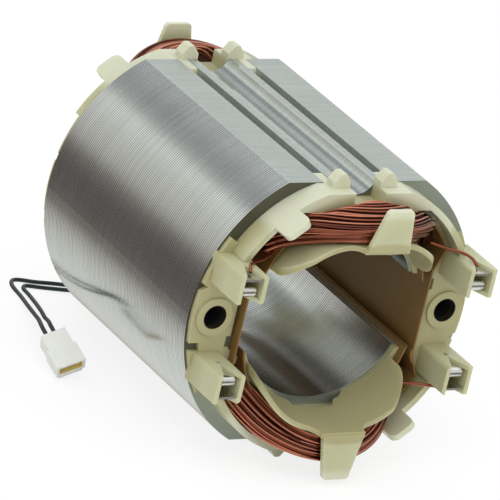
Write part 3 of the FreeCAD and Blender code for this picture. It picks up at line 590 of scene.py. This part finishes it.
# %% Routes of the coil ends
HOUSING_X, HOUSING_TOP = 22.75, 11.75
TAIL_RIGHT = (
    (-7.0, 2.6, 1.8), (-5.3, 3.6, 1.5), (-4.1, 5.0, 1.5), (-2.0, 5.7, 1.15),
    (-1.1, 6.1, 0.8), (-0.4, 7.0, 0.4), (-0.1, 7.8, -0.35),
)
TAIL_LEFT = (
    (-7.0, 3.0, 1.0), (-4.8, 4.4, 0.4), (-2.4, 5.4, 0.4),
    (-1.2, 5.9, 0.4), (-0.4, 7.0, 0.4), (-0.1, 7.8, -0.35),
)


def tail_route(tail, side, flip):
    return [(flip * side * (HOUSING_X + px), -HALF_STACK - py, flip * (HOUSING_TOP + pz))
            for px, py, pz in tail]


print("coil ends have", len(TAIL_RIGHT), "and", len(TAIL_LEFT), "points")

# %% [markdown]
# ## Round wire
#
# The coils and the sensor lead are all round wire. A wire could be a swept mesh, but a
# curve with a round bevel needs few points and stays smooth. One helper starts such a
# curve, one adds a run along points, and one brings the result into the scene. The
# turns and the ends of a coil are runs of one curve, so that a coil stays one piece.

# %% Start a wire, add a run, put it in the scene
def round_wire(name, diameter, materials, roundness, steps):
    """Empty curve of round wire. Its materials come first, as a run can only pick one that is there."""
    data = bpy.data.curves.new(name, "CURVE")
    data.dimensions = "3D"
    data.bevel_depth = diameter / 2 * MM
    data.bevel_resolution = roundness
    data.resolution_u = steps
    for material in materials:
        data.materials.append(material)
    return data


def run(data, points, order, closed=False, thickness=1.0):
    """Add one smooth run of wire along points in millimetres."""
    spline = data.splines.new("NURBS")
    spline.points.add(len(points) - 1)
    for point, co in zip(spline.points, points):
        point.co = (*(Vector(co) * MM), 1.0)
        point.radius = thickness
    spline.order_u = order
    spline.use_cyclic_u = closed
    spline.use_endpoint_u = not closed
    return spline


def put(name, data):
    """Bring new data into the scene as an object."""
    made = bpy.data.objects.new(name, data)
    scene.collection.objects.link(made)
    return made


# %% The wires of a coil
STRAND, COIL_END = 0.40, 0.58
SLANT = 0.012
CROSSING_ODDS, CROSSING_OUT, CROSSING_DEPTH = 0.35, 0.02, 0.12
SHARE_WANDER, DEPTH_WANDER = 0.005, 0.014
LEAST_SHARE, MOST_SHARE = 0.04, 0.98
TONE_ODDS = [0.43, 0.29, 0.28]


def wound_wire(name, crowns, rows, seed, flip):
    """The visible turns of a coil and its two ends; flip is 1 above the bore and -1 below it."""
    rng = np.random.default_rng(seed)
    data = round_wire(name, STRAND, copper_tones, roundness=2, steps=3)
    swing = np.cos(WAY_ROUND)
    for share, depth, on_top in visible_turns(rows):
        slant = rng.normal(0, SLANT)
        crossing = rng.choice([-1, 1]) if on_top and rng.random() < CROSSING_ODDS else 0
        shares = share + CROSSING_OUT * abs(crossing) + slant * swing + wander(rng, SHARE_WANDER)
        depths = depth + CROSSING_DEPTH * crossing * swing + wander(rng, DEPTH_WANDER)
        shares = np.clip(shares, LEAST_SHARE, MOST_SHARE)
        depths = np.clip(depths, 0.0, 1.0)
        outlines = [turn_outline(s) for s in shares]
        xs = np.array([o[0][i] for i, o in enumerate(outlines)])
        ys = np.array([o[1][i] for i, o in enumerate(outlines)])
        xs = draw_in(xs, ys, depths)
        zs = bend_on(xs, ys, depths, crowns)
        tone = int(rng.choice([MID, PALE_AND_HIGHLIGHT, DARK_AND_SHADE], p=TONE_ODDS))
        turn = run(data, list(zip(flip * xs, ys, flip * zs)), order=4, closed=True)
        # Painted shade: the buried layer always takes the dark tone.
        turn.material_index = tone if on_top else DARK_AND_SHADE
    for side, tail in ((-1, TAIL_LEFT), (1, TAIL_RIGHT)):
        run(data, tail_route(tail, side, flip), order=3, thickness=COIL_END / STRAND)
    return put(name, data)


# %% [markdown]
# ## The core of a bundle
#
# Between the outer wires of a coil one sees more of them, in deep shade. The bundle
# could be filled with wires, at the cost of many faces that nobody sees. So a closed
# tube with the bundle's own form, a little smaller and coloured near black as painted
# shade, lies behind the wires and keeps light from passing through the gaps.

# %% A closed tube for the core
CORE_IN, CORE_OUT = 0.10, 0.88
CORE_LOW, CORE_HIGH = 0.10, 0.90
CORE_SIDE_LOW, CORE_SIDE_HIGH = 0.26, 0.74


def core_rim():
    """Share and depth round the cross-section of the core."""
    rim = [(s, CORE_LOW) for s in np.linspace(CORE_IN, CORE_OUT, 7)]
    rim += [(CORE_OUT, t) for t in np.linspace(CORE_SIDE_LOW, CORE_SIDE_HIGH, 4)]
    rim += [(s, CORE_HIGH) for s in np.linspace(CORE_OUT, CORE_IN, 7)]
    return rim + [(CORE_IN, t) for t in np.linspace(CORE_SIDE_HIGH, CORE_SIDE_LOW, 4)]


def bundle_core(name, crowns, flip):
    """Closed tube, coloured near black as painted shade, that fills the bundle just under its outer
    wires.
    """
    mesh = bmesh.new()
    grid = []
    for share, depth in core_rim():
        xs, ys = turn_outline(share)
        xs = draw_in(xs, ys, depth)
        zs = bend_on(xs, ys, np.full(len(xs), depth), crowns)
        row = np.stack([flip * xs, ys, flip * zs], axis=1) * MM
        grid.append([mesh.verts.new(co) for co in row])
    for row, after in zip(grid, grid[1:] + grid[:1]):
        for j in range(len(row)):
            k = (j + 1) % len(row)
            mesh.faces.new((row[j], row[k], after[k], after[j]))
    bmesh.ops.recalc_face_normals(mesh, faces=mesh.faces)
    data = bpy.data.meshes.new(name)
    mesh.to_mesh(data)
    mesh.free()
    data.materials.append(shade)
    for polygon in data.polygons:
        polygon.use_smooth = True
    return put(name, data)


# %% Wind both coils
COILS = (
    # name, radius of the crown in front and behind, wires on the end face, seed, flip
    ("upper_coil", (21.9, 24.0), 12, 11, 1),
    ("lower_coil", (24.0, 24.0), 13, 29, -1),
)
for coil, crowns, rows, seed, flip in COILS:
    wires = wound_wire(coil + "_turns", crowns, rows, seed, flip)
    core = bundle_core(coil + "_core", crowns, flip)
    for piece in (wires, core):
        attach(piece, "root")
        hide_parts(coil)
    print(coil, "has", len(wires.data.splines), "visible wires")

# %% [markdown]
# ## The sensor lead
#
# Two thin insulated wires come from the sensor behind the lower coil, run out over the
# table, fold back once and come forward to a white two-way housing. They are limp and
# lie where they fell, so each route is a list of points. The solids already follow the
# same points with short faceted tubes, and a curve through them gives the smooth round
# wire.

# %% Routes of the two wires
LEAD_A = (
    (-5.4, 33.8, -24.5), (-7.2, 33.8, -24.5), (-8.9, 36.2, -25.0), (-10.5, 38.4, -25.75),
    (-13.0, 39.7, -25.95), (-16.2, 40.4, -25.95), (-18.3, 41.4, -25.95), (-19.8, 41.7, -25.95),
    (-20.9, 40.6, -25.95), (-21.5, 38.4, -25.95), (-21.7, 35.2, -25.95), (-22.9, 31.1, -25.4),
    (-24.8, 26.2, -24.2), (-27.0, 21.1, -22.7), (-29.0, 16.5, -21.3), (-30.3, 13.9, -20.6),
    (-30.9, 11.6, -20.7), (-30.68, 9.77, -21.46),
)
LEAD_B = (
    (-5.4, 33.0, -24.5), (-7.5, 33.0, -24.5), (-9.3, 34.5, -25.0), (-11.1, 36.3, -25.75),
    (-13.4, 37.4, -25.95), (-16.1, 38.2, -25.95), (-17.6, 38.8, -25.95), (-18.9, 39.2, -25.95),
    (-19.8, 38.0, -25.95), (-19.8, 36.1, -25.95), (-20.3, 33.2, -25.8), (-21.7, 28.9, -25.0),
    (-23.9, 23.7, -23.7), (-26.0, 19.6, -22.4), (-27.6, 16.6, -21.2), (-28.8, 13.8, -20.2),
    (-29.5, 11.55, -20.17), (-29.28, 9.71, -20.94),
)
LEAD_DIAMETER = 0.75
print("lead points:", len(LEAD_A), "and", len(LEAD_B))

def lead(name, points, node):
    data = round_wire(name, LEAD_DIAMETER, [rubber], roundness=3, steps=8)
    run(data, points, order=3)
    piece = put(name, data)
    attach(piece, "root")
    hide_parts(node)
    return piece


lead("sensor_wire_a", LEAD_A, "sensor_lead_a")
lead("sensor_wire_b", LEAD_B, "sensor_lead_b")

# %% [markdown]
# ## The connector
#
# The white housing sits squarely on the ends of the two wires. Its mouth is painted
# warm yellow, as painted light that reaches it only through the plastic. A second
# material on the inner faces would need their numbers, which change with the mesh. So
# the connector's own axes are worked out from the wires' ends, as in the model's
# source, and the mouth is a box in them. The two contacts inside are plated in a pale gold.

# %% The connector's own axes
ends = Vector(LEAD_A[-1]), Vector(LEAD_B[-1])
runs = [(Vector(wire[-1]) - Vector(wire[-2])).normalized() for wire in (LEAD_A, LEAD_B)]
across = (ends[1] - ends[0]).normalized()
along = runs[0] + runs[1]
along = (along - across * across.dot(along)).normalized()
above = across.cross(along)
origin = (ends[0] + ends[1]) / 2
print("connector at", [round(c, 1) for c in origin], "facing", [round(c, 2) for c in along])

# %% White housing with painted light in its mouth
MOUTH_HALF, MOUTH_LOW, MOUTH_HIGH = 2.2, -1.05, 0.55
MOUTH_START, MOUTH_END = 4.4, 7.4

white, white_shader, place = surface("white_moulding", {
    "IOR": 1.5, "Subsurface Weight": 0.3, "Subsurface Radius": (1.0, 0.95, 0.85),
    "Subsurface Scale": 0.0008})


def measured(place, axis):
    """Distance from the connector's origin along one of its axes."""
    dot = place.node("VectorMath", {0: place, 1: axis}, output="Value", operation="DOT_PRODUCT")
    return dot - origin.dot(axis)


outwards, sideways, upwards = (measured(place, axis) for axis in (along, across, above))
# Painted light: the mouth is coloured warm yellow for light that comes through the plastic.
lit_mouth = ramp(outwards, MOUTH_START - 0.1, MOUTH_START - 0.02)
lit_mouth = lit_mouth * (1.0 - ramp(outwards, MOUTH_END - 0.04, MOUTH_END - 0.01))
lit_mouth = lit_mouth * (1.0 - ramp(abs(sideways), MOUTH_HALF + 0.02, MOUTH_HALF + 0.1))
lit_mouth = lit_mouth * ramp(upwards, MOUTH_LOW - 0.1, MOUTH_LOW - 0.02)
lit_mouth = lit_mouth * (1.0 - ramp(upwards, MOUTH_HIGH + 0.02, MOUTH_HIGH + 0.1))
cloud = noise(place, scale=0.5)
shell = mixed(cloud, (0.80, 0.79, 0.74), (0.88, 0.88, 0.84))
feed(white_shader, "Base Color", mixed(lit_mouth, shell, (0.92, 0.76, 0.32)))
feed(white_shader, "Roughness", 0.30 + 0.15 * cloud)
feed(white_shader, "Normal", bump(cloud, depth_mm=0.02, strength=0.4))
paint(white, "connector_housing")
print("white on the connector")

# %% Plated contacts
gold, gold_shader, place = surface("plated_contact", {"Metallic": 1.0})
ripple = noise(place, scale=1.5, detail=2.0)
feed(gold_shader, "Base Color", mixed(ripple, (0.62, 0.42, 0.13), (0.82, 0.62, 0.26)))
feed(gold_shader, "Roughness", 0.24 + 0.2 * ripple)
paint(gold, "connector_contact_a", "connector_contact_b")
print("plating on its two contacts")

# %% [markdown]
# ## Camera
#
# The photograph was taken from the left front, a little above, with a long lens: edges
# that are parallel stay nearly so. The stator had rolled about 14 degrees on its side
# there. Turning the object would take it out of the model's frame, so the camera
# carries that roll instead.

# %% Camera of the photograph
camera_data = bpy.data.cameras.new("photo_camera")
camera_data.sensor_width = 36.0
camera_data.lens = 427.7
camera_data.clip_start = 0.05
camera_data.clip_end = 20.0
camera = put("photo_camera", camera_data)
right = Vector((0.84690977, -0.48725546, 0.21289894))
up = Vector((0.02047113, 0.42996475, 0.90261356))
back = Vector((-0.53134243, -0.76007396, 0.37411602))
stand = Vector((-0.5427, -0.7754, 0.3809))
turned_to = Matrix((right, up, back)).transposed().to_4x4()
camera.matrix_world = Matrix.Translation(stand) @ turned_to
scene.camera = camera
print("camera", round(stand.length, 3), "m from the middle of the bore")

# %% [markdown]
# ## Floor
#
# The floor is plain and pale, and touches the four lower hooks. More light would bleach
# the object before the floor turned white, so for the camera alone most of the floor's
# colour is its own glow, and the rest is lit paint that keeps the soft shadow.

# %% Pale floor
FLOOR_HALF = 3
FLOOR_SHARE, FLOOR_GLOW = 0.78, 1.04
WHITE = (1.0, 1.0, 1.0, 1.0)

floor_z = cad_box[0][2]
corners = [(sx * FLOOR_HALF, sy * FLOOR_HALF, floor_z) for sx, sy in ((-1, -1), (1, -1), (1, 1), (-1, 1))]
floor_data = bpy.data.meshes.new("floor")
floor_data.from_pydata(corners, [], [(0, 1, 2, 3)])
floor = put("floor", floor_data)
floor.visible_glossy = False

pale, pale_shader, place = surface("pale_floor", {
    "Base Color": (0.92, 0.92, 0.91, 1.0), "Roughness": 0.9, "Specular IOR Level": 0.1})
glow = place.node("Emission", {"Color": WHITE, "Strength": FLOOR_GLOW})
seen = place.node("LightPath", output="Is Camera Ray")
lit = Signal(pale.node_tree, pale_shader.outputs[0])
blend = place.node("MixShader", {0: seen * FLOOR_SHARE, 1: lit, 2: glow})
feed(pale.node_tree.nodes["Material Output"], "Surface", blend)
floor_data.materials.append(pale)
print("floor at", in_mm([floor_z]), "mm")

# %% [markdown]
# ## Light
#
# Ground steel shows little of its own colour: it shows what is around it. The
# photographed stator stood in a light tent, so the world has the bright and dim bands
# of one: dim at the table's edge, bright above and below. One lamp could not give such
# broad bands along the steel. The camera itself sees a white backdrop.

# %% Bands of the light tent
BANDS = (
    (-0.95, 0.98), (-0.66, 0.92), (-0.58, 0.80), (-0.50, 0.56),
    (-0.42, 0.22), (-0.30, 0.14), (-0.12, 0.13), (0.02, 0.22),
    (0.14, 0.62), (0.30, 0.80), (0.40, 0.94), (0.48, 1.20),
    (0.505, 0.46), (0.61, 0.34), (0.65, 0.90), (0.85, 1.10),
)
DIM, BRIGHT, OVERHEAD = (1.12, 0.97, 0.92), (0.965, 1.01, 0.965), (0.96, 1.00, 1.02)
OVERHEAD_FROM = 0.49


def band_colour(height, value):
    """Dim bands are a little warm, bright ones a little green, and those overhead a little blue."""
    tint = OVERHEAD
    if height <= OVERHEAD_FROM:
        tint = [d + min(value, 1.0) * (b - d) for d, b in zip(DIM, BRIGHT)]
    return (*(value * c for c in tint), 1.0)


stops = [(height * 0.5 + 0.5, band_colour(height, value)) for height, value in BANDS]
print("the tent has", len(stops), "stops between dim and bright")

# %% The world
world = bpy.data.worlds.new("light_tent")
world.use_nodes = True
scene.world = world
world.node_tree.nodes.clear()
start = Signal(world.node_tree)
direction = start.node("TexCoord", output="Generated")
upward = axes(direction)[2]
tent = upward.node("ValToRGB", {0: upward * 0.5 + 0.5}, stops=stops)
soft = start.node("Background", {"Color": tent, "Strength": 1.0})
clear = start.node("Background", {"Color": WHITE, "Strength": 1.0})
seen = start.node("LightPath", output="Is Camera Ray")
sky = start.node("MixShader", {0: seen, 1: soft, 2: clear})
sky.node("OutputWorld", {"Surface": sky})
print("world:", world.name)

# %% [markdown]
# ## Softboxes
#
# Three large, weak lamps give the plastic its light and shade. They could also light
# the steel and copper, but a lamp's outline would cut across the tent's bands, so
# reflections leave them out.

# %% Key, fill and front light
def softbox(name, towards, distance, size, watts):
    data = bpy.data.lights.new(name, "AREA")
    data.shape = "RECTANGLE"
    data.size, data.size_y = size
    data.energy = watts
    lamp = put(name, data)
    way = Vector(towards).normalized()
    lamp.location = way * distance
    lamp.rotation_euler = way.to_track_quat("Z", "Y").to_euler()
    lamp.visible_glossy = False
    return lamp


softbox("key", towards=(-0.55, -0.35, 0.9), distance=0.7, size=(0.5, 0.5), watts=1.05)
softbox("fill", towards=(0.8, -0.7, 0.35), distance=0.8, size=(0.6, 0.6), watts=0.75)
softbox("front", towards=(-0.3, -1.0, 0.15), distance=0.8, size=(0.5, 0.4), watts=0.3)
